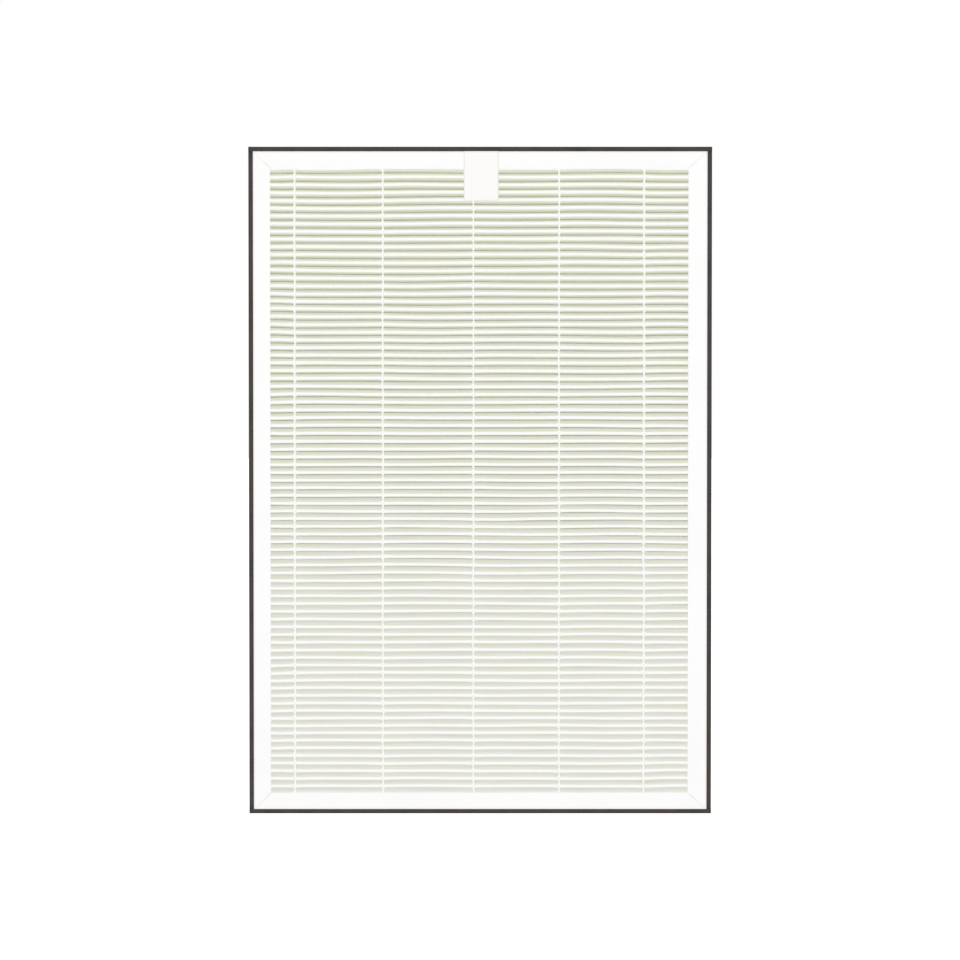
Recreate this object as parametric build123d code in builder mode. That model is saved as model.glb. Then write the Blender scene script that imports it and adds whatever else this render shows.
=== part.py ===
from build123d import *
import math
import os

# HEPA filter panel: a mini-pleated filter sheet, held in a frame of folded board.
# The panel stands on its bottom edge. X is its width, Y its depth with the front
# face towards -Y, and Z its height. The origin is the middle of its bottom face.
# All sizes are millimetres.

# Overall size, measured over the foam strips
overall_width = 277.4
overall_height = 400.0
frame_depth = 35.0

# Foam strips round the outer edge, set back by a margin from the front and rear faces
seal_thickness = 2.8
seal_margin = 2.5

# Board channels, with one lip width for each edge because they are folded by hand
board_thickness = 1.2
bend_radius = 0.3
top_lip = 10.1
bottom_lip = 9.9
left_lip = 10.3
right_lip = 11.4
mitre_gap = 0.12

# Pleated sheet, which sits a little below the middle of the frame
sheet_thickness = 0.8
pleat_pitch = 4.627
pack_drop = 0.9
end_glue_least = 0.7

# Glue between the pleats and round the sheet
bead_width = 1.3
strand_thickness = 0.5
potting_thickness = 2.0
bead_places = (-0.838, -0.440, -0.031, 0.356, 0.740)  # shares of half the sheet's width

# Ribbon pull tab
tab_width = 20.7
tab_thickness = 0.4
tab_root = 18.0
tab_hang = 29.3
tab_shift = 0.6
tab_relief_clearance = 0.2

# Frame faces worked out from the sizes above
frame_half_width = overall_width / 2 - seal_thickness
frame_bottom = seal_thickness
frame_top = overall_height - seal_thickness
frame_height = frame_top - frame_bottom
mid_height = overall_height / 2
inner_half_width = frame_half_width - board_thickness
inner_bottom = frame_bottom + board_thickness
inner_top = frame_top - board_thickness
outer_bend = bend_radius + board_thickness
seal_width = frame_depth - 2 * seal_margin

# The pack sits one glue strand behind the lips, and fills the frame with whole pleats.
# Its last pleat is nearer the wall at the bottom, and takes the least glue there.
pack_depth = frame_depth - 2 * (board_thickness + strand_thickness)
pack_front = -pack_depth / 2
pack_back = pack_depth / 2
sheet_half_width = inner_half_width - potting_thickness
pack_middle = mid_height - pack_drop
pleat_count = int(2 * (pack_middle - inner_bottom - end_glue_least) // pleat_pitch)
first_crest = pack_middle - (pleat_count - 1) * pleat_pitch / 2
last_crest = first_crest + (pleat_count - 1) * pleat_pitch

# A fold is sharp inside and rounded outside as half an octagon, one sheet thick.
# Each leaf runs straight from the side of a crest to the inside of the fold behind.
crest_half = sheet_thickness
crest_flat = crest_half * math.tan(math.pi / 8)
shoulder_depth = crest_half - crest_flat
leaf_slope = (pleat_pitch / 2 - crest_half) / (pack_depth - sheet_thickness)
shoulder_half = crest_half + leaf_slope * shoulder_depth
crease_front = pack_front + sheet_thickness
crease_back = pack_back - sheet_thickness

os.makedirs("parts", exist_ok=True)


def save(piece, name):
    piece.label = name
    export_step(piece, f"parts/{name}.step")


# Pleated sheet, as one folded strip

def crest_points(height, face, way):
    # The four corners of one crest, upwards; way is +1 where the leaves run to +Y
    shoulder = face + way * shoulder_depth
    return [
        (shoulder, height - shoulder_half),
        (face, height - crest_flat),
        (face, height + crest_flat),
        (shoulder, height + shoulder_half),
    ]


def sheet_outline():
    # Up the front surface and down the rear one, with the cut ends at the back
    front = [(crease_back, first_crest - pleat_pitch / 2)]
    back = [(crease_back, first_crest - leaf_slope * (crease_back - crease_front))]
    for fold in range(pleat_count):
        height = first_crest + fold * pleat_pitch
        front += crest_points(height, pack_front, 1)
        front.append((crease_back, height + pleat_pitch / 2))
        back.append((crease_front, height))
        if fold < pleat_count - 1:
            back += crest_points(height + pleat_pitch / 2, pack_back, -1)
    back.append((crease_back, last_crest + leaf_slope * (crease_back - crease_front)))
    return front + back[::-1]


with BuildPart() as media_pack:
    with BuildSketch(Plane.YZ.offset(-sheet_half_width)):
        with BuildLine():
            Polyline(*sheet_outline(), close=True)
        make_face()
    extrude(amount=2 * sheet_half_width)
save(media_pack.part, "media_pack")


# Glue separators: a strand laid over the crests, with a web that fills each valley
# from crest to crease and lies on the leaves at both sides

def separator_outline(low_crest, high_crest, crest_face, strand_face, crease):
    points = [(strand_face, low_crest - crest_half)]
    for fold in range(round((high_crest - low_crest) / pleat_pitch) + 1):
        height = low_crest + fold * pleat_pitch
        points.append((crest_face, height - crest_half))
        points.append((crest_face, height + crest_half))
        points.append((crease, height + pleat_pitch / 2))
    points.pop()
    points.append((strand_face, high_crest + crest_half))
    return points


front_outline = separator_outline(
    first_crest, last_crest, pack_front, pack_front - strand_thickness, crease_back
)
back_outline = separator_outline(
    first_crest + pleat_pitch / 2,
    last_crest - pleat_pitch / 2,
    pack_back,
    pack_back + strand_thickness,
    crease_front,
)
for side, outline in (("front", front_outline), ("rear", back_outline)):
    with BuildPart() as separator:
        with BuildSketch(Plane.YZ.offset(-bead_width / 2)):
            with BuildLine():
                Polyline(*outline, close=True)
            make_face()
        extrude(amount=bead_width)
    for number, place in enumerate(bead_places, start=1):
        save(Pos(place * sheet_half_width, 0, 0) * separator.part, f"{side}_separator_{number}")


# Potting beds, which close the cut ends of the pleats against the side channels

for name, way in (("left_potting", -1), ("right_potting", 1)):
    middle = way * (inner_half_width - potting_thickness / 2)
    with BuildPart() as potting:
        with BuildSketch(Plane.YZ.offset(middle)):
            with Locations((0, mid_height)):
                Rectangle(pack_depth, inner_top - inner_bottom)
        extrude(amount=potting_thickness / 2, both=True)
    save(potting.part, name)


# Glue beds, which bond the first and the last leaf to the bottom and top channels

for name, wall, crest, way in (
    ("bottom_glue", inner_bottom, first_crest, -1),
    ("top_glue", inner_top, last_crest, 1),
):
    with BuildPart() as glue:
        with BuildSketch(Plane.YZ):
            with BuildLine():
                Polyline(
                    (pack_front, wall),
                    (pack_front, crest + way * crest_half),
                    (crease_back, crest + way * pleat_pitch / 2),
                    (crease_back, wall),
                    close=True,
                )
            make_face()
        extrude(amount=sheet_half_width, both=True)
    save(glue.part, name)


# Board channels: a wall with a front and a rear lip, folded from one strip. The lips
# are mitred at the corners, and the side walls stand between the other two.

def channel(name, edge, length, lip, lip_before, lip_after, wall_cut):
    # edge has X along the channel and Y towards the middle of the panel
    half = length / 2
    fold_depth = board_thickness + bend_radius
    with BuildPart() as rail:
        with BuildSketch(Plane(edge.origin, x_dir=edge.y_dir, z_dir=edge.x_dir)):
            with BuildLine():
                FilletPolyline(
                    (lip, -frame_depth / 2),
                    (0, -frame_depth / 2),
                    (0, frame_depth / 2),
                    (lip, frame_depth / 2),
                    radius=outer_bend,
                )
                offset(amount=board_thickness, side=Side.RIGHT)
            make_face()
        extrude(amount=half, both=True)

        # Mitres, from the outer corner to the corner of the window, through both lips
        for face in (-frame_depth / 2, frame_depth / 2 - fold_depth):
            with BuildSketch(edge.offset(face)):
                for way, next_lip in ((-1, lip_before), (1, lip_after)):
                    slack = mitre_gap / 2 * math.hypot(lip, next_lip) / lip
                    with BuildLine():
                        Polyline(
                            (way * (half + next_lip - slack), -lip),
                            (way * (half - 2 * next_lip - slack), 2 * lip),
                            (way * (half + next_lip), 2 * lip),
                            close=True,
                        )
                    make_face()
            extrude(amount=fold_depth, mode=Mode.SUBTRACT)

        if wall_cut > 0:
            with BuildSketch(edge):
                with Locations((-half, 0), (half, 0)):
                    Rectangle(2 * wall_cut, 4 * board_thickness)
            extrude(amount=frame_depth / 2 - fold_depth, both=True, mode=Mode.SUBTRACT)
    save(rail.part, name)


top_edge = Plane((0, 0, frame_top), x_dir=(1, 0, 0), z_dir=(0, 1, 0))
bottom_edge = Plane((0, 0, frame_bottom), x_dir=(1, 0, 0), z_dir=(0, -1, 0))
left_edge = Plane((-frame_half_width, 0, mid_height), x_dir=(0, 0, 1), z_dir=(0, 1, 0))
right_edge = Plane((frame_half_width, 0, mid_height), x_dir=(0, 0, 1), z_dir=(0, -1, 0))
frame_width = 2 * frame_half_width
channel("top_rail", top_edge, frame_width, top_lip, left_lip, right_lip, 0)
channel("bottom_rail", bottom_edge, frame_width, bottom_lip, left_lip, right_lip, 0)
channel("left_rail", left_edge, frame_height, left_lip, bottom_lip, top_lip, board_thickness)
channel("right_rail", right_edge, frame_height, right_lip, bottom_lip, top_lip, board_thickness)


# Foam strips, with the side ones standing between the top and bottom ones

for name, way in (("left_seal", -1), ("right_seal", 1)):
    with BuildPart() as side_seal:
        with BuildSketch(Plane.XZ):
            with Locations((way * (frame_half_width + seal_thickness / 2), mid_height)):
                Rectangle(seal_thickness, frame_height)
        extrude(amount=seal_width / 2, both=True)
    save(side_seal.part, name)

with BuildPart() as bottom_seal:
    with BuildSketch(Plane.XY):
        Rectangle(overall_width, seal_width)
    extrude(amount=seal_thickness)
save(bottom_seal.part, "bottom_seal")

# The top strip is pressed thinner over the root of the tab
with BuildPart() as top_seal:
    with BuildSketch(Plane.XY.offset(frame_top)):
        Rectangle(overall_width, seal_width)
    extrude(amount=seal_thickness)
    with BuildSketch(Plane.XY.offset(frame_top)):
        with Locations((tab_shift, -frame_depth / 2)):
            Rectangle(tab_width + 2 * tab_relief_clearance, 2 * (tab_root + tab_relief_clearance))
    extrude(amount=tab_thickness, mode=Mode.SUBTRACT)
save(top_seal.part, "top_seal")


# Pull tab: a ribbon stuck to the top wall, bent over the front edge and hanging down

ribbon_middle = frame_top + tab_thickness / 2
root_end = tab_root - frame_depth / 2
with BuildPart() as pull_tab:
    with BuildLine(Plane.YZ.offset(tab_shift)) as ribbon_path:
        FilletPolyline(
            (root_end, ribbon_middle),
            (-frame_depth / 2 - tab_thickness / 2, ribbon_middle),
            (-frame_depth / 2 - tab_thickness / 2, frame_top - tab_hang),
            radius=outer_bend + tab_thickness / 2,
        )
    with BuildSketch(Plane((tab_shift, root_end, ribbon_middle), x_dir=(1, 0, 0), z_dir=(0, -1, 0))):
        Rectangle(tab_width, tab_thickness)
    sweep(path=ribbon_path.line)
save(pull_tab.part, "pull_tab")
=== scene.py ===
import math

import bpy
import numpy as np
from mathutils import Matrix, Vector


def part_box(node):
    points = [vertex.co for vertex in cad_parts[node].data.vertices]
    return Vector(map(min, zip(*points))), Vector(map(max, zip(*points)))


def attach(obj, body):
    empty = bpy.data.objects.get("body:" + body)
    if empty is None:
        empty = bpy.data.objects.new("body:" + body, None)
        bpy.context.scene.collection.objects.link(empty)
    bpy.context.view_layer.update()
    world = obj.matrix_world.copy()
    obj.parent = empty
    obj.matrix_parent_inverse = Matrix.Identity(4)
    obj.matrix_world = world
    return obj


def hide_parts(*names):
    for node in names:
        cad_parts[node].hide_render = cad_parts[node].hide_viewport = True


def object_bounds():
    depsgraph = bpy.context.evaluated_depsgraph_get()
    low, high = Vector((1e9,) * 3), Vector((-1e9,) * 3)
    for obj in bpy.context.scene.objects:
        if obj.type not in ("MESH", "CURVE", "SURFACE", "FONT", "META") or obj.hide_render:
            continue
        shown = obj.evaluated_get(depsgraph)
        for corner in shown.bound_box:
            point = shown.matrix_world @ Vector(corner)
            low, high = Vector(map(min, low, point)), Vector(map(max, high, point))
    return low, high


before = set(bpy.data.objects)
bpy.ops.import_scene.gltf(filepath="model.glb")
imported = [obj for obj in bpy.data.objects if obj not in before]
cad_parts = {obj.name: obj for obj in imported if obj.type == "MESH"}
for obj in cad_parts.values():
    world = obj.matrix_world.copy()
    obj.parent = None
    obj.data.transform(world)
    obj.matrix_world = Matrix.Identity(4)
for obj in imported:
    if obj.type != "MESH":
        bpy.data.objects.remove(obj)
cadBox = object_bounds()
mm = 0.001
rng = np.random.default_rng(41)
sides = ("top", "bottom", "left", "right")


# mesh and material helpers

def addMesh(name, points, faces, material, smooth=True):
    mesh = bpy.data.meshes.new(name)
    mesh.from_pydata([tuple(p) for p in points.tolist()], [], faces)
    mesh.polygons.foreach_set("use_smooth", np.full(len(mesh.polygons), smooth))
    mesh.materials.append(material)
    mesh.update()
    piece = bpy.data.objects.new(name, mesh)
    bpy.context.scene.collection.objects.link(piece)
    return piece


# a tube of quads over a grid of rings: ring r runs round, row by row along the piece,
# closed round each ring and capped with one face at both ends
def ringFaces(rows, ring, inward=False):
    r, k = np.meshgrid(np.arange(rows - 1), np.arange(ring), indexing="ij")
    nextK = (k + 1) % ring
    quads = np.stack([r * ring + k, r * ring + nextK, (r + 1) * ring + nextK, (r + 1) * ring + k], -1)
    quads = quads.reshape(-1, 4)
    first = list(range(ring))[::-1]
    last = [(rows - 1) * ring + i for i in range(ring)]
    if inward:
        quads = quads[:, ::-1]
        first, last = first[::-1], last[::-1]
    return quads.tolist() + [first, last]


def smoothStep(t):
    t = np.clip(t, 0, 1)
    return t * t * (3 - 2 * t)


class Nodes:
    # a short way to write a node tree: add() makes a node, and its inputs are values or sockets
    def __init__(self, name):
        self.material = bpy.data.materials.new(name)
        self.material.use_nodes = True
        self.tree = self.material.node_tree
        self.shader = self.tree.nodes["Principled BSDF"]
        self.coords = self.tree.nodes.new("ShaderNodeTexCoord").outputs["Object"]

    def add(self, kind, out=0, settings=None, **inputs):
        node = self.tree.nodes.new(kind)
        for key, value in (settings or {}).items():
            setattr(node, key, value)
        for key, value in inputs.items():
            byPlace = key[0] == "i" and key[1:].isdigit()  # i0, i1 and so on
            self.put(node.inputs[int(key[1:]) if byPlace else key], value)
        return node.outputs[out]

    def put(self, socket, value):
        if isinstance(value, bpy.types.NodeSocket):
            self.tree.links.new(value, socket)
        else:
            socket.default_value = value

    def stretched(self, scale):
        return self.add("ShaderNodeMapping", Vector=self.coords, Scale=scale)

    def noise(self, vector, scale, detail=3.0, roughness=0.5):
        inputs = {"Scale": scale, "Detail": detail, "Roughness": roughness}
        return self.add("ShaderNodeTexNoise", Vector=vector, **inputs)

    def ramp(self, value, stops):
        node = self.tree.nodes.new("ShaderNodeValToRGB")
        self.put(node.inputs[0], value)
        for spot, (place, color) in enumerate(stops):
            elements = node.color_ramp.elements  # a new ramp has two
            element = elements[spot] if spot < 2 else elements.new(place)
            element.position = place
            element.color = (*color, 1)
        return node.outputs[0]

    def mix(self, share, first, second, blend="MIX"):
        node = self.tree.nodes.new("ShaderNodeMix")
        node.data_type = "RGBA"
        node.blend_type = blend
        for place, value in ((0, share), (6, first), (7, second)):
            isColor = place > 0 and not isinstance(value, bpy.types.NodeSocket)
            self.put(node.inputs[place], (*value, 1) if isColor else value)
        return node.outputs[2]

    def calc(self, operation, *values):
        inputs = {f"i{place}": value for place, value in enumerate(values)}
        return self.add("ShaderNodeMath", 0, {"operation": operation}, **inputs)

    def bump(self, height, distance, strength=1.0, normal=None):
        more = {} if normal is None else {"Normal": normal}
        return self.add("ShaderNodeBump", Height=height, Distance=distance, Strength=strength, **more)

    def finish(self, color, roughness, normal=None, **fixed):
        self.put(self.shader.inputs["Base Color"], color)
        self.put(self.shader.inputs["Roughness"], roughness)
        if normal is not None:
            self.put(self.shader.inputs["Normal"], normal)
        for key, value in fixed.items():
            self.shader.inputs[key.replace("_", " ")].default_value = value
        return self.material


# filter sheet: felted fibres, near white on the crests, and yellow-green and darker down in a fold by
# painted shade

sheetLook = {
    # painted shade: the sheet's colour by the depth down a fold, darker and yellower deeper in
    "paintedShadeByDepth": [
        (0.0, (0.995, 0.995, 0.968)),
        (0.03, (0.99, 0.99, 0.955)),
        (0.10, (0.995, 1.0, 0.92)),
        (0.22, (0.995, 1.0, 0.90)),
        (0.36, (0.965, 0.975, 0.86)),
        (0.55, (0.94, 0.95, 0.82)),
        (0.84, (0.855, 0.865, 0.74)),
        (1.0, (0.80, 0.81, 0.69)),
    ],
    "greenTint": (0.99, 1.0, 0.905),
    "greyTint": (0.995, 0.98, 1.03),
    "tintStops": (0.29, 0.46),
    "greener": -0.6,  # change along the tint, a metre up
    "tintDepth": (0.02, 0.15),  # where down a fold the tint starts and is full
    "patchTone": 0.93,
    "patchStops": (0.38, 0.6),
    "cloudScale": (45, 160, 160),  # per metre, as the scales below
    "patchScale": (28, 260, 260),
    "fibreScale": (420, 1300, 1300),
    "speckScale": 2600,
    "fibreBump": 0.12 * mm,
    "speckBump": 0.05 * mm,
    "roughness": 0.9,
    "through": 0.12,
}


def filterSheetSurface():
    # colour = painted shade from a ramp over the depth in the fold, darker and yellower deeper down,
    # times a tint that the crests go without; the tint is a cloud between two, greener towards the top
    # by its height, with darker drawn-out patches;
    # bump = fine fibre noise drawn out along the fold, then specks; a share of the light goes through
    n = Nodes("filterSheet")
    shadeDepthInFold = n.add("ShaderNodeAttribute", 2, {"attribute_name": "foldShadeDepth"})
    clouds = n.noise(n.stretched(sheetLook["cloudScale"]), 1.0, 3.0, 0.6)
    fibres = n.noise(n.stretched(sheetLook["fibreScale"]), 1.0, 4.0, 0.65)
    specks = n.noise(n.coords, sheetLook["speckScale"], 2.0)
    # painted shade: the ramp darkens and yellows the sheet down a fold
    paintedFoldShade = n.ramp(shadeDepthInFold, sheetLook["paintedShadeByDepth"])
    height = n.add("ShaderNodeSeparateXYZ", 2, Vector=n.coords)
    drift = n.calc("MULTIPLY_ADD", height, sheetLook["greener"], clouds)
    green, grey = sheetLook["tintStops"]
    tint = n.ramp(drift, [(green, sheetLook["greenTint"]), (grey, sheetLook["greyTint"])])
    patches = n.noise(n.stretched(sheetLook["patchScale"]), 1.0, 2.0)
    dark, clear = sheetLook["patchStops"]
    patchy = n.ramp(patches, [(dark, (sheetLook["patchTone"],) * 3), (clear, (1, 1, 1))])
    start, full = sheetLook["tintDepth"]
    tinted = n.add("ShaderNodeMapRange", Value=shadeDepthInFold, i1=start, i2=full)
    color = n.mix(tinted, paintedFoldShade, n.mix(1.0, tint, patchy, "MULTIPLY"), "MULTIPLY")
    felt = n.bump(specks, sheetLook["speckBump"], 0.5, n.bump(fibres, sheetLook["fibreBump"], 0.7))
    n.finish(color, sheetLook["roughness"], felt, Specular_IOR_Level=0.25)
    through = n.add("ShaderNodeBsdfTranslucent", Color=color)
    mixed = n.add("ShaderNodeMixShader", i0=sheetLook["through"], i1=n.shader.outputs[0], i2=through)
    n.put(n.tree.nodes["Material Output"].inputs["Surface"], mixed)
    return n.material


# white board: clay-coated card, nearly smooth, with a faint wash of tone

boardLook = {
    "shadeColor": (0.926, 0.926, 0.923),
    "lightColor": (0.94, 0.94, 0.936),
    "washScale": 30,
    "grainScale": 1800,
    "grainBump": 0.03 * mm,
    "roughness": 0.6,
    "cutEdgeAndShadeColor": (0.76, 0.755, 0.75),  # grey of the cut edges in the slit of a mitre, with painted shade of the slit
    "cutShadeWidth": 0.45 * mm,
    "cutShadeFrom": 2.5 * mm,  # from the outer corner
    "cutShadeFull": 8 * mm,
}


def boardSurface():
    # colour = slow noise between two whites, and grey beside each mitre, the cut edge's own grey with
    # painted shade of the slit, by the distance to the line that runs in from the corner at the slope
    # of the two lips' widths;
    # bump = very fine paper grain
    n = Nodes("whiteBoard")
    wash = n.noise(n.coords, boardLook["washScale"], 3.0)
    grain = n.noise(n.coords, boardLook["grainScale"], 3.0, 0.6)
    white = n.ramp(wash, [(0.35, boardLook["shadeColor"]), (0.65, boardLook["lightColor"])])
    size = {side: np.subtract(*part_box(f"{side}_rail")[::-1]) for side in sides}
    endLip = (size["top"][2] + size["bottom"][2]) / 2
    leftSlope, rightSlope = endLip / size["left"][0], endLip / size["right"][0]
    x, z = (n.add("ShaderNodeSeparateXYZ", axis, Vector=n.coords) for axis in (0, 2))
    fromBottom = n.calc("SUBTRACT", z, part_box("bottom_rail")[0][2])
    fromTop = n.calc("SUBTRACT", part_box("top_rail")[1][2], z)
    fromSide = n.calc("SUBTRACT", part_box("right_rail")[1][0], n.calc("ABSOLUTE", x))
    isRight = n.calc("GREATER_THAN", x, 0.0)
    slope = n.calc("MULTIPLY_ADD", isRight, rightSlope - leftSlope, leftSlope)
    fromEnd = n.calc("MINIMUM", fromBottom, fromTop)
    offLine = n.calc("ABSOLUTE", n.calc("SUBTRACT", fromEnd, n.calc("MULTIPLY", slope, fromSide)))
    near = n.add("ShaderNodeMapRange", Value=offLine, i1=boardLook["cutShadeWidth"], i2=0.0)
    start, full = boardLook["cutShadeFrom"], boardLook["cutShadeFull"]
    inward = n.add("ShaderNodeMapRange", Value=fromSide, i1=start, i2=full)
    # painted shade: the grey line beside each mitre stands partly for the shade in its slit and partly
    # for the cut edge
    color = n.mix(n.calc("MULTIPLY", near, inward), white, boardLook["cutEdgeAndShadeColor"])
    return n.finish(color, boardLook["roughness"], n.bump(grain, boardLook["grainBump"], 0.4))


# foam strip: fine closed cells, warm dark grey

foamLook = {
    "poreColor": (0.030, 0.025, 0.0235),
    "skinColor": (0.064, 0.054, 0.0495),
    "cellScale": 1600,
    "cellBump": 0.12 * mm,
    "patchScale": 60,
    "roughness": 0.85,
}


def foamSurface():
    # colour and bump = cell pattern by distance to random points, with cloudy patches over it
    n = Nodes("darkFoam")
    cells = n.add("ShaderNodeTexVoronoi", Vector=n.coords, Scale=foamLook["cellScale"])
    patches = n.noise(n.coords, foamLook["patchScale"], 3.0)
    mixed = n.calc("MULTIPLY_ADD", cells, 0.7, patches)
    color = n.ramp(mixed, [(0.35, foamLook["poreColor"]), (1.0, foamLook["skinColor"])])
    pitted = n.bump(cells, foamLook["cellBump"], 0.6)
    return n.finish(color, foamLook["roughness"], pitted, Specular_IOR_Level=0.3)


# glue: milky and a little waxy in the lines, duller and creamier round the sheet

meltLook = {"shadeColor": (0.97, 0.975, 0.92), "lightColor": (0.985, 0.985, 0.945), "roughness": 0.6}
pottingLook = {"shadeColor": (0.80, 0.79, 0.72), "lightColor": (0.87, 0.86, 0.80), "roughness": 0.7}
glueFlow = {"scale": 700, "bump": 0.06 * mm}


def glueSurface(name, look):
    # colour = slow noise between two creams; bump = soft ripples
    n = Nodes(name)
    flow = n.noise(n.coords, glueFlow["scale"], 2.0)
    color = n.ramp(flow, [(0.3, look["shadeColor"]), (0.7, look["lightColor"])])
    return n.finish(color, look["roughness"], n.bump(flow, glueFlow["bump"], 0.5))


# ribbon: bonded fibre cloth with small embossed points in rows

ribbonLook = {
    "shadeColor": (0.925, 0.913, 0.896),
    "lightColor": (0.938, 0.925, 0.907),
    "fibreScale": (500, 500, 1500),
    "fibreBump": 0.03 * mm,
    "netScale": 900,
    "netBump": 0.02 * mm,
    "roughness": 0.8,
}


def ribbonSurface():
    # colour = fibre noise between two whites; bump = fibre noise plus round dimples at the
    # points of a square net
    n = Nodes("whiteRibbon")
    fibres = n.noise(n.stretched(ribbonLook["fibreScale"]), 1.0, 4.0, 0.6)
    net = n.add("ShaderNodeTexVoronoi", Vector=n.coords, Scale=ribbonLook["netScale"], Randomness=0.0)
    color = n.ramp(fibres, [(0.3, ribbonLook["shadeColor"]), (0.7, ribbonLook["lightColor"])])
    weave = n.bump(net, ribbonLook["netBump"], 0.2, n.bump(fibres, ribbonLook["fibreBump"], 0.3))
    return n.finish(color, ribbonLook["roughness"], weave, Sheen_Weight=0.2)


sheetMaterial = filterSheetSurface()
boardMaterial = boardSurface()
foamMaterial = foamSurface()
meltMaterial = glueSurface("hotMelt", meltLook)
pottingMaterial = glueSurface("pottingGlue", pottingLook)
ribbonMaterial = ribbonSurface()
print("materials made")


# pleated sheet

pleat = {
    "pitch": 4.627 * mm,
    "thickness": 0.88 * mm,
    "crestDepth": 0.5 * mm,  # less than the thickness, so a crest is a little flat
    "crestAngles": (-78, -40, 0, 40, 78),  # degrees, where a crest has its rows
    "leafShares": (0.2, 0.6),  # where a leaf has its rows
    "wave": 0.15 * mm,  # how far crests usually bow up or down between two glue lines
    "ripple": 0.05 * mm,  # a second bow on top, different on each crest
    "calm": 7,  # crests over which the first bow stays alike
    "postJitter": 0.16 * mm,  # how far a crest sits off its place at a glue line
    "rearShare": 0.35,  # a rear crest goes halfway with its two neighbours, and this much by itself
    "setBack": 0.15 * mm,  # how far a crest falls back at most
    "swell": 0.16,  # share that a crest gains beside a glue line
    "swellReach": 3.0 * mm,
    "paintedUndersideShade": 1.8,  # painted shade: a leaf's underside is drawn as dark as a place this much deeper, as though shaded from light above
    "columns": (0, 0.02, 0.07, 0.2, 0.4, 0.6, 0.8, 0.93, 0.98),  # places within a span
    "sagAt": (0, 5, 9, 13, 18, 36, 46, 57, 66, 74, 81, 82),  # crests, from the bottom
    "sag": (0.25, 0.15, -0.15, -0.6, -1.0, -0.93, -0.73, -0.05, -0.2, 0.08, 0.1, 0.65),  # millimetres
    "paintedTopGapLight": 0.7,  # painted light: the first gap under the top lip is drawn less dark by this factor
}
packLow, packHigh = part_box("media_pack")
yFront = packLow[1]
yBack = packHigh[1]
depth = yBack - yFront
half = pleat["thickness"]
slope = (pleat["pitch"] / 2 - half) / (depth - half - pleat["crestDepth"])
middleZ = (packLow[2] + packHigh[2]) / 2
crestCount = round((packHigh[2] - packLow[2]) / pleat["pitch"])
evenZ = middleZ + (np.arange(crestCount) - (crestCount - 1) / 2) * pleat["pitch"]
crestZ = evenZ + np.interp(np.arange(crestCount), pleat["sagAt"], pleat["sag"]) * mm
rearZMiddle = (crestZ[1:] + crestZ[:-1]) / 2
beadX = np.array([sum(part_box(f"front_separator_{i}")[k][0] for k in (0, 1)) / 2 for i in range(1, 6)])
posts = np.concatenate([[packLow[0]], beadX, [packHigh[0]]])
columnX = (posts[:-1, None] + np.diff(posts)[:, None] * np.array(pleat["columns"])[None]).ravel()
columnX = np.append(columnX, posts[-1])
columnSpan = np.clip(np.searchsorted(posts, columnX, side="right") - 1, 0, len(posts) - 2)
columnShare = (columnX - posts[columnSpan]) / np.diff(posts)[columnSpan]


# Shift of each fold along the panel's width. The posts, which are the five glue lines and the
# two ends, hold it at small random heights with straight lines between them. To that comes a
# bow: an amplitude times sin(pi s) plus a smaller sin(2 pi s), s from 0 to 1 across a span. The
# first amplitude is a moving average over the folds, so neighbours bow alike.
def foldBow(folds, size, ripple, jitter):
    held = rng.normal(0, 1, (folds + 2, len(posts)))
    held = jitter * (held[:-2] + 2 * held[1:-1] + held[2:]) / math.sqrt(6)
    window = np.hanning(4 * pleat["calm"] + 1)
    free = rng.normal(0, size, (folds + len(window) - 1, len(posts) - 1))
    slow = [np.convolve(column, window / np.linalg.norm(window), "valid") for column in free.T]
    first = np.stack(slow, 1)[:, columnSpan]
    second = rng.normal(0, ripple, (folds, len(posts) - 1))[:, columnSpan]
    line = held[:, columnSpan] * (1 - columnShare) + held[:, columnSpan + 1] * columnShare
    return line + first * np.sin(math.pi * columnShare) + second * np.sin(2 * math.pi * columnShare)


# One surface of the sheet as rows of (depth from its crest plane, height from its crest).
# A crest is half an ellipse as wide as the sheet is thick on each side, and a leaf is a
# straight line from there to the crease.
def crestProfile():
    angle = np.radians(pleat["crestAngles"])
    crest = np.stack([pleat["crestDepth"] * (1 - np.cos(angle)), half * np.sin(angle)], 1)
    share = np.array(pleat["leafShares"])
    start, end = np.array([pleat["crestDepth"], half]), np.array([depth - half, pleat["pitch"] / 2])
    upper = start + (end - start) * share[:, None]
    lower = upper[::-1] * (1, -1)
    crease = np.array([[depth - half, -pleat["pitch"] / 2]])
    rows = np.concatenate([crease, lower, crest, upper])
    return rows[:, 0], rows[:, 1], rows[:, 0] / depth


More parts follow.
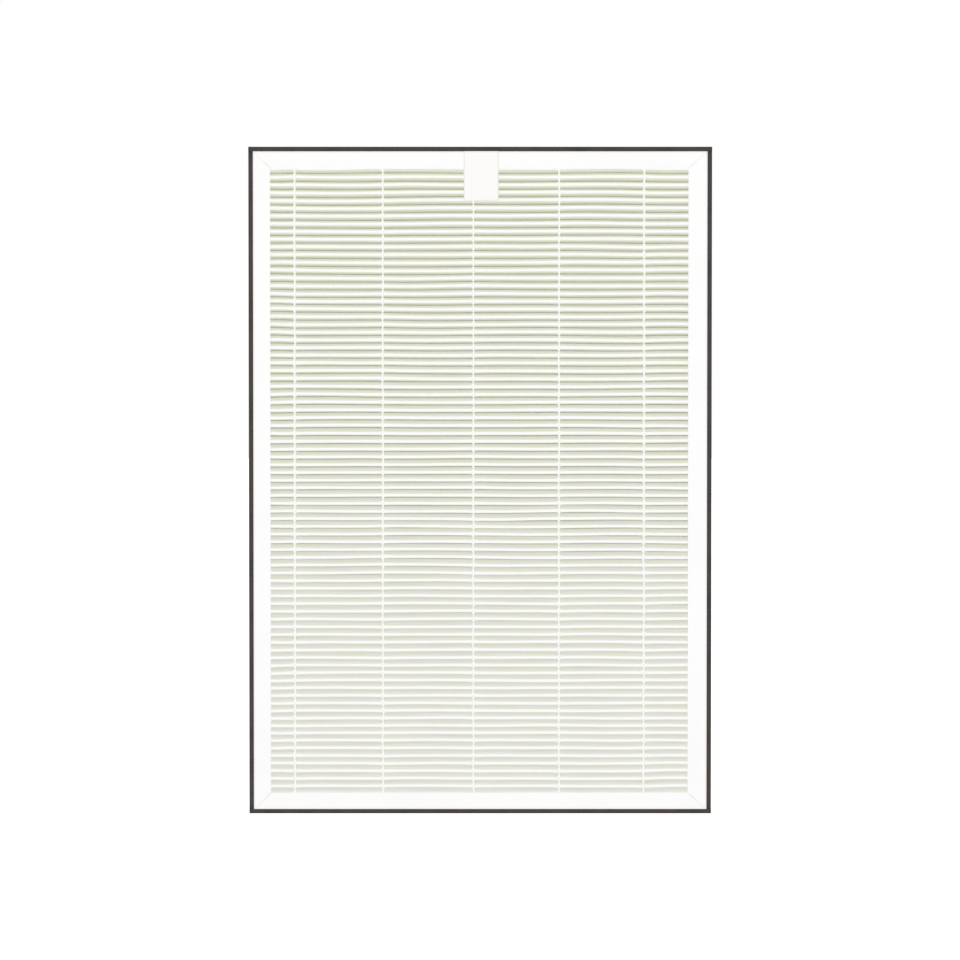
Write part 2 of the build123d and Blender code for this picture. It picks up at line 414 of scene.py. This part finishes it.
def pleatedSheet():
    # outline = front surface upwards, then rear surface downwards; each point moves with the
    # front fold and the rear fold it lies between, by its share of the way from one to the other
    count = len(columnX)
    shape = [pleat[key] for key in ("wave", "ripple", "postJitter")]
    frontBow = foldBow(crestCount, *shape)
    rearBow = pleat["rearShare"] * foldBow(crestCount + 1, *shape)
    rearBow[1:-1] += (frontBow[:-1] + frontBow[1:]) / 2
    rearBow[[0, -1]] = 0
    frontBack = np.abs(foldBow(crestCount, pleat["setBack"], 0, 0))
    rearBack = np.abs(foldBow(crestCount + 1, pleat["setBack"], 0, 0))
    toPost = np.minimum(columnShare, 1 - columnShare) * np.diff(posts)[columnSpan]
    swell = 1 + pleat["swell"] * np.exp(-toPost / pleat["swellReach"])
    y0, z0, share = crestProfile()
    rows = len(y0)

    fold = np.repeat(np.arange(crestCount), rows)
    along = np.tile(share, crestCount)[:, None]
    rise = np.tile(z0, crestCount)[:, None]
    far = fold + (np.tile(z0, crestCount) > 0)
    frontY = yFront + np.tile(y0, crestCount)[:, None] + frontBack[fold] * (1 - along) ** 2
    frontZ = crestZ[fold][:, None] + rise * (swell + (1 - swell) * along)
    frontZ = frontZ + frontBow[fold] * (1 - along) + rearBow[far] * along
    topEnd = np.full((1, count), crestZ[-1] + pleat["pitch"] / 2)
    frontY = np.vstack([frontY, np.full((1, count), yBack - half)])
    frontZ = np.vstack([frontZ, topEnd])

    rearFold = np.repeat(np.arange(1, crestCount), rows)
    along = np.tile(share, crestCount - 1)[:, None]
    rise = np.tile(z0, crestCount - 1)[:, None]
    near = rearFold - (np.tile(z0, crestCount - 1) < 0)
    rearY = yBack - np.tile(y0, crestCount - 1)[:, None] - rearBack[rearFold] * (1 - along) ** 2
    rearZ = rearZMiddle[rearFold - 1][:, None] + rise * (swell + (1 - swell) * along)
    rearZ = rearZ + rearBow[rearFold] * (1 - along) + frontBow[near] * along
    lastCrease = crestZ[-1] + frontBow[-1]
    endRise = slope * (depth - 2 * half)
    rearY = np.vstack([np.full((1, count), yBack - half), rearY, np.full((2, count), 0.0)])
    rearY[-2] = yFront + half
    rearY[-1] = yBack - half
    rearZ = np.vstack([np.full((1, count), crestZ[0] - endRise), rearZ, lastCrease[None]])
    rearZ = np.vstack([rearZ, np.full((1, count), crestZ[-1] + endRise)])

    y = np.vstack([frontY, rearY[::-1]]).T
    z = np.vstack([frontZ, rearZ[::-1]]).T
    points = np.stack([np.broadcast_to(columnX[:, None], y.shape), y, z], -1)
    piece = addMesh("pleatedSheet", points.reshape(-1, 3), ringFaces(*y.shape), sheetMaterial)

    # painted shade: darker by the share of the way down a fold, and darker still on a leaf's underside,
    # as though shaded from light above
    shade = np.minimum(share * np.where(z0 < 0, pleat["paintedUndersideShade"], 1), 1)
    frontShade = np.append(np.tile(shade, crestCount), 1)
    isUpper = np.append(np.tile(z0 > 0, crestCount), False)
    gap = np.append(fold, crestCount) + isUpper  # the gap that a point borders, from the bottom
    # painted light: the first gap under the top lip is drawn lighter
    frontShade[gap == crestCount - 2] *= pleat["paintedTopGapLight"]
    rearShade = np.concatenate([[0], np.tile(shade, crestCount - 1), [1, 0]])
    ringShade = np.concatenate([frontShade, rearShade[::-1]])
    attribute = piece.data.attributes.new("foldShadeDepth", "FLOAT", "POINT")
    attribute.data.foreach_set("value", np.tile(ringShade, count).astype(np.float32))
    return piece


sheetPiece = pleatedSheet()
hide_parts("media_pack")
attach(sheetPiece, "root")
print("pleated sheet made", len(sheetPiece.data.vertices))


# glue lines

bead = {
    "halfWidth": 0.3 * mm,  # in the middle of a valley
    "flare": 0.5 * mm,  # how much wider each half is where it meets a crest
    "flareReach": 0.8 * mm,
    "behind": 0.1 * mm,  # how far it runs behind the face of a crest
    "dip": 0.5 * mm,  # how far its front edge hangs back in the middle of a valley
    "sunk": 0.1 * mm,  # how far it soaks into the leaves
    "wander": 0.12 * mm,
    "stepsPerFold": 20,
    "across": (-1, -0.8, -0.3, 0.3, 0.8, 1, 1, -1),  # the ring, as shares of the half width
    "roundOff": (0.3, 0.12, 0, 0, 0.12, 0.3, 0, 0),  # millimetres that its front corners lie back
    "isRear": (0, 0, 0, 0, 0, 0, 1, 1),
    "least": 0.02 * mm,  # depth that is left at a front corner
}


# A glue line is a strip of rings up the panel. At height z from the nearest crest its front
# edge is a smooth step from just behind the crest to the dip, and its rear edge is the leaf's
# own line, so it fills the valley. Its width falls off from each crest's edge as
# exp(-(gap / reach)^2).
def glueLine(name, x, crests, face, way):
    steps = bead["stepsPerFold"]
    place = np.arange((len(crests) - 1) * steps + 1) / steps
    z = np.interp(place, np.arange(len(crests)), crests)
    off = np.abs((place + 0.5) % 1 - 0.5) * pleat["pitch"]
    t = off / (pleat["pitch"] / 2)
    nearEdge = bead["behind"] + (bead["dip"] - bead["behind"]) * smoothStep((t - 0.2) / 0.8)
    crestLine = pleat["crestDepth"] * (1 - np.sqrt(np.clip(1 - (off / half) ** 2, 0, None)))
    leafLine = pleat["crestDepth"] + (off + bead["sunk"] - half) / slope
    farEdge = np.where(off < 0.9 * half, crestLine + bead["sunk"], np.minimum(leafLine, depth - half))
    farEdge = np.maximum(farEdge, nearEdge + bead["sunk"])
    fromCrest = np.clip(off - half, 0, None)
    width = bead["halfWidth"] + bead["flare"] * np.exp(-((fromCrest / bead["flareReach"]) ** 2))
    wander = np.interp(z, crests, rng.normal(0, bead["wander"], len(crests)))
    across = np.array(bead["across"])
    roundOff = np.array(bead["roundOff"]) * mm
    ringX = x + wander[:, None] + width[:, None] * across
    front = np.minimum(nearEdge[:, None] + roundOff, farEdge[:, None] - bead["least"])
    ringY = face + way * np.where(bead["isRear"], farEdge[:, None], front)
    ringZ = np.broadcast_to(z[:, None], ringX.shape)
    points = np.stack([ringX, ringY, ringZ], -1).reshape(-1, 3)
    piece = addMesh(name, points, ringFaces(len(z), len(across), inward=way < 0), meltMaterial)
    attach(piece, "root")
    return piece


for number, x in enumerate(beadX, start=1):
    frontLine = glueLine(f"frontGlueLine{number}", x, crestZ, yFront, 1)
    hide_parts(f"front_separator_{number}")
    rearLine = glueLine(f"rearGlueLine{number}", x, rearZMiddle, yBack, -1)
    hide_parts(f"rear_separator_{number}")
print("glue lines made")


# foam strips

foam = {
    "edge": 0.25 * mm,  # radius of the corners
    "cornerSteps": 4,
    "wobble": 0.05 * mm,
    "waves": (3, 5, 8, 13),  # how many of each sine go into a strip's length
    "sections": 90,
}


# A bar from a node's box: each ring is a rectangle with quarter-round corners, carried
# along the bar's longest side, with a slow sum of sines moving its faces in and out.
def foamStrip(node):
    low, high = (np.array(p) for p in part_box(node))
    axis = int(np.argmax(high - low))
    u, v = [k for k in range(3) if k != axis]
    steps = foam["cornerSteps"]
    corner = np.radians(np.linspace(0, 90, steps))
    arcs = np.stack([np.cos(corner), np.sin(corner)], 1)
    quarters = []
    for signU, signV, turn in ((1, 1, 0), (-1, 1, 1), (-1, -1, 2), (1, -1, 3)):
        c, s = [(1, 0), (0, 1), (-1, 0), (0, -1)][turn]
        turned = arcs @ np.array([[c, s], [-s, c]])
        quarters.append(np.hstack([np.tile([signU, signV], (steps, 1)), turned]))
    ring = np.vstack(quarters)
    size = (high - low) / 2
    middle = (high + low) / 2
    ringU = middle[u] + ring[:, 0] * (size[u] - foam["edge"]) + ring[:, 2] * foam["edge"]
    ringV = middle[v] + ring[:, 1] * (size[v] - foam["edge"]) + ring[:, 3] * foam["edge"]
    t = np.linspace(0, 1, foam["sections"])
    along = low[axis] + (high[axis] - low[axis]) * t
    wave = sum(np.sin(2 * math.pi * (k * t + rng.random())) / k for k in foam["waves"])
    inset = 1 - foam["wobble"] * (0.5 + wave[:, None] / 4) / size[[u, v]]
    points = np.zeros((len(t), len(ring), 3))
    points[:, :, axis] = along[:, None]
    points[:, :, u] = middle[u] + (ringU - middle[u]) * inset[:, :1]
    points[:, :, v] = middle[v] + (ringV - middle[v]) * inset[:, 1:]
    faces = ringFaces(len(t), len(ring), inward=(axis + 1) % 3 != u)
    piece = addMesh(f"{node}Foam", points.reshape(-1, 3), faces, foamMaterial)
    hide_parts(node)
    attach(piece, "root")
    return piece


for side in sides:
    foamStrip(f"{side}_seal")
print("foam strips made")


# pull tab

ribbon = {
    "thickness": 0.12 * mm,
    "pressed": 0.03 * mm,  # how far it lies into the board
    "bend": 1.5 * mm,
    "skew": 0.6 * mm,
    "curl": 0.15 * mm,
    "curlMiddle": 0.35,  # share of the curl that the middle of its width has too
    "columns": 21,
    "rows": (10, 10, 36),  # on the top wall, round the bend and down
}


# The ribbon's middle line goes forward over the top wall, round a quarter circle and down.
# Across its width the free end curls forward by a parabola, and its foot is cut askew.
def pullTab():
    low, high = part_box("pull_tab")
    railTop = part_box("top_rail")[1][2]
    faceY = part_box("top_rail")[0][1]
    radius = ribbon["bend"] + ribbon["thickness"] / 2 - ribbon["pressed"]
    root = high[1] - (faceY + ribbon["bend"])
    fall = railTop - ribbon["bend"] - low[2]
    quarter = radius * math.pi / 2
    length = root + quarter + fall
    rootRows, bendRows, hangRows = ribbon["rows"]
    onWall = np.linspace(0, root, rootRows)[:-1]
    inBend = root + np.linspace(0, quarter, bendRows)[:-1]
    s = np.concatenate([onWall, inBend, np.linspace(root + quarter, length, hangRows)])
    angle = np.clip((s - root) / radius, 0, math.pi / 2)
    down = np.clip(s - root - quarter, 0, None)
    y = faceY + ribbon["bend"] + np.clip(root - s, 0, None) - radius * np.sin(angle)
    z = railTop - ribbon["bend"] + radius * np.cos(angle) - down
    columns = ribbon["columns"]
    across = np.linspace(-1, 1, columns)
    share = (down / fall)[:, None]
    x = (low[0] + high[0]) / 2 + across[None, :] * (high[0] - low[0]) / 2 * np.ones((len(s), 1))
    middle = ribbon["curlMiddle"]
    gridY = y[:, None] - ribbon["curl"] * share ** 2 * (middle + (1 - middle) * across ** 2)
    gridZ = z[:, None] + ribbon["skew"] * share ** 3 * (across - 1) / 2
    points = np.stack([x, gridY, gridZ], -1)
    r, k = np.meshgrid(np.arange(len(s) - 1), np.arange(columns - 1), indexing="ij")
    corner = r * columns + k
    quads = np.stack([corner, corner + columns, corner + columns + 1, corner + 1], -1)
    piece = addMesh("ribbonTab", points.reshape(-1, 3), quads.reshape(-1, 4).tolist(), ribbonMaterial)
    wall = piece.modifiers.new("wall", "SOLIDIFY")
    wall.thickness = ribbon["thickness"]
    wall.offset = 0
    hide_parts("pull_tab")
    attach(piece, "root")
    return piece


pullTab()
print("ribbon made")


# finishes for the solids that stay

for node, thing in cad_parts.items():
    if "rail" in node:
        thing.data.materials.clear()
        thing.data.materials.append(boardMaterial)
    if "potting" in node or node.endswith("glue"):
        thing.data.materials.clear()
        thing.data.materials.append(pottingMaterial)


# floor, light and camera

studio = {
    "floorSize": 6.0,
    "floorColor": 0.9,
    "floorRoughness": 0.9,
    "glow": 0.6,  # of the floor, for the camera alone
    "worldStrength": 0.8,
    "keyPower": 13.8,
    "keySize": 1.0,
    "keyPlace": (0.0, -1.8, 0.12),
    "keyAim": (0, 0, 0.2),
    # surfaces further off than this don't shade each other from the sky, so the tone down a
    # fold comes from its colour ramp and not from the light
    "bounceReach": 0.16 * mm,
}
camera = {
    "pixel": 0.5989 * mm,  # one pixel of the photograph on the front face
    "imageWidth": 960,
    "nudge": (0.2, 1.12),  # pixels to the right and down, to centre as in the photograph
    "distance": 3.0,
    "height": 0.32,
    "sensor": 36.0,
}


def makeFloor():
    size = studio["floorSize"]
    mesh = bpy.data.meshes.new("floor")
    corners = [(-size, -size, 0), (size, -size, 0), (size, size, 0), (-size, size, 0)]
    mesh.from_pydata(corners, [], [(0, 1, 2, 3)])
    floor = bpy.data.objects.new("floor", mesh)
    bpy.context.scene.collection.objects.link(floor)
    n = Nodes("floorWhite")
    n.finish((studio["floorColor"],) * 3 + (1,), studio["floorRoughness"])
    rays = n.tree.nodes.new("ShaderNodeLightPath")
    n.tree.links.new(rays.outputs["Is Camera Ray"], n.shader.inputs["Emission Strength"])
    glow = studio["glow"]
    n.shader.inputs["Emission Color"].default_value = (glow, glow, glow, 1)
    mesh.materials.append(n.material)


def makeWorld():
    world = bpy.data.worlds.new("studio")
    bpy.context.scene.world = world
    world.use_nodes = True
    tree = world.node_tree
    back = tree.nodes["Background"]
    rays = tree.nodes.new("ShaderNodeLightPath")
    seen = tree.nodes.new("ShaderNodeMath")
    seen.operation = "MAXIMUM"
    tree.links.new(rays.outputs["Is Camera Ray"], seen.inputs[0])
    tree.links.new(rays.outputs["Is Transmission Ray"], seen.inputs[1])
    level = tree.nodes.new("ShaderNodeMapRange")
    level.inputs["To Min"].default_value = studio["worldStrength"]
    level.inputs["To Max"].default_value = 1.0
    tree.links.new(seen.outputs[0], level.inputs["Value"])
    tree.links.new(level.outputs[0], back.inputs["Strength"])
    back.inputs["Color"].default_value = (1, 1, 1, 1)


def makeLight(name, place, aim, size, power):
    light = bpy.data.lights.new(name, "AREA")
    light.shape = "SQUARE"
    light.size = size
    light.energy = power
    lamp = bpy.data.objects.new(name, light)
    lamp.location = place
    lamp.rotation_euler = (Vector(aim) - Vector(place)).to_track_quat("-Z", "Y").to_euler()
    bpy.context.scene.collection.objects.link(lamp)


def makeCamera():
    low, high = cadBox
    middle = (low[2] + high[2]) / 2
    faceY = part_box("top_rail")[0][1]
    width = camera["pixel"] * camera["imageWidth"]
    tilt = math.atan2(camera["height"] - middle, camera["distance"])
    reach = math.hypot(camera["height"] - middle, camera["distance"])
    data = bpy.data.cameras.new("camera")
    data.lens = camera["sensor"] * reach / width
    data.sensor_width = camera["sensor"]
    eye = bpy.data.objects.new("camera", data)
    eye.location = (-camera["nudge"][0] * camera["pixel"], faceY - camera["distance"], camera["height"])
    tilt -= camera["nudge"][1] * camera["pixel"] / camera["distance"]
    eye.rotation_euler = (math.pi / 2 - tilt, 0, 0)
    bpy.context.scene.collection.objects.link(eye)
    bpy.context.scene.camera = eye


makeFloor()
makeWorld()
makeLight("key", studio["keyPlace"], studio["keyAim"], studio["keySize"], studio["keyPower"])
makeCamera()
bpy.context.scene.view_settings.view_transform = "Standard"
bpy.context.scene.cycles.use_fast_gi = True
bpy.context.scene.cycles.fast_gi_method = "REPLACE"
bpy.context.scene.cycles.ao_bounces_render = 1
bpy.context.scene.world.light_settings.distance = studio["bounceReach"]
print("studio made")
